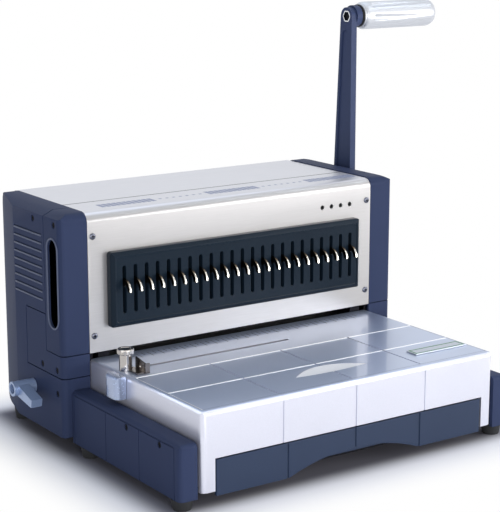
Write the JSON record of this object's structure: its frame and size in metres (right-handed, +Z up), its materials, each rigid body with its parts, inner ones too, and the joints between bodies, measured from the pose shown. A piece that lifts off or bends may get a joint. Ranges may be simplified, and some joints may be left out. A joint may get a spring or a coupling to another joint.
{
  "type": "comb binding machine",
  "caption": "Manual desktop punch and binding machine: punch tower with slotted hook plate, feed bed with side guide and chip drawer, and a side lever with a turning grip.",
  "frame": {"origin": "middle of the footprint's box, on the surface that the machine stands on", "axes": "+X to the machine's right, along the row of slots; +Y to the back; +Z up"},
  "size_m": [0.5572, 0.3618, 0.4215],
  "materials": {
    "slate_plastic": "fine grained moulded plastic",
    "dark_plastic": "smooth satin plastic",
    "black_plastic": "matt",
    "panel_silver": "fine brushed, satin",
    "bed_silver": "metallic silver lacquer",
    "badge_silver": "satin",
    "zinc_steel": "zinc plated",
    "tool_steel": "blackened, ground edges",
    "bronze": "sintered",
    "chrome": "polished",
    "knob_silver": "satin silver blue plastic",
    "lever_paint": "fine grained powder coat",
    "grip_aluminium": "satin",
    "rubber": "matt"
  },
  "bodies": {
    "root": {"base_plate": "zinc_steel", "foot_front_right": "rubber", "foot_front_left": "rubber", "foot_middle_right": "rubber", "foot_middle_left": "rubber", "foot_rear_right": "rubber", "foot_rear_left": "rubber", "side_cover_main_right": "slate_plastic", "side_cover_main_left": "slate_plastic", "side_cover_front_right": "slate_plastic", "side_cover_front_left": "slate_plastic", "side_cover_middle_right": "slate_plastic", "side_cover_middle_left": "slate_plastic", "front_housing_right": "slate_plastic", "front_housing_left": "slate_plastic", "front_panel": "panel_silver", "top_cover": "panel_silver", "rear_cover": "panel_silver", "comb_plate": "dark_plastic", "peep_strip": "black_plastic", "panel_screw_low_right": "chrome", "panel_screw_low_left": "chrome", "panel_screw_high_right": "chrome", "panel_screw_high_left": "chrome", "frame_plate_right": "zinc_steel", "frame_plate_left": "zinc_steel", "shaft_bush_right": "bronze", "shaft_bush_left": "bronze", "die_beam": "tool_steel", "die_block": "tool_steel", "stripper_plate": "tool_steel", "guide_post_right": "tool_steel", "guide_post_left": "tool_steel", "hook_rod_right": "tool_steel", "hook_rod_left": "tool_steel", "return_spring_right": "zinc_steel", "return_spring_left": "zinc_steel", "bed_cover": "bed_silver", "badge_plate": "badge_silver", "drawer_runner_right": "zinc_steel", "drawer_runner_left": "zinc_steel", "guide_rail": "tool_steel", "guide_end_cap": "bed_silver"},
    "lever": {"drive_shaft": "tool_steel", "drive_pinion_right": "tool_steel", "drive_pinion_left": "tool_steel", "lever_arm": "lever_paint", "grip_bolt": "chrome"},
    "grip": {"lever_grip": "grip_aluminium"},
    "punch": {"punch_bar": "tool_steel", "punch_carriage": "tool_steel"},
    "hooks": {"hook_bar": "chrome"},
    "margin": {"margin_shaft": "tool_steel", "margin_knob": "knob_silver"},
    "backstop": {"paper_backstop": "zinc_steel"},
    "drawer": {"drawer_front": "dark_plastic", "drawer_tray": "dark_plastic"},
    "guide": {"guide_slider": "chrome", "guide_fence": "chrome"},
    "clamp": {"guide_knob": "chrome"}
  },
  "joints": [
    {"name": "lever_swing", "type": "hinge", "parent": "root", "child": "lever", "pos_m": [0.16, 0.1154, 0.198], "axis": [1, 0, 0], "range_deg": [0, 75], "stiffness_Nm_per_rad": 1, "springref_deg": -20.05},
    {"name": "grip_spin", "type": "hinge", "parent": "lever", "child": "grip", "pos_m": [0.2324, 0.1099, 0.4061], "axis": [1, 0, 0], "continuous": true},
    {"name": "punch_slide", "type": "slide", "parent": "root", "child": "punch", "axis": [0, 0, -1], "range_m": [0, 0.012], "deforming": ["return_spring_right", "return_spring_left"]},
    {"name": "hook_slide", "type": "slide", "parent": "root", "child": "hooks", "axis": [0, 0, 1], "range_m": [-0.018, 0.012]},
    {"name": "margin_turn", "type": "hinge", "parent": "root", "child": "margin", "pos_m": [-0.26, 0.0845, 0.0547], "axis": [-1, 0, 0], "range_deg": [0, 45]},
    {"name": "backstop_slide", "type": "slide", "parent": "root", "child": "backstop", "axis": [0, 1, 0], "range_m": [0, 0.0047]},
    {"name": "drawer_slide", "type": "slide", "parent": "root", "child": "drawer", "axis": [0, -1, 0], "range_m": [0, 0.15]},
    {"name": "guide_slide", "type": "slide", "parent": "root", "child": "guide", "axis": [1, 0, 0], "range_m": [0, 0.185]},
    {"name": "clamp_turn", "type": "hinge", "parent": "guide", "child": "clamp", "pos_m": [-0.2116, -0.0281, 0.11], "axis": [0, 0, 1], "range_deg": [0, 180]}
  ],
  "couplings": [
    {"joint": "punch_slide", "follows": "lever_swing", "m_per_rad": 0.009},
    {"joint": "margin_turn", "follows": "backstop_slide", "rad_per_m": 166.67}
  ]
}
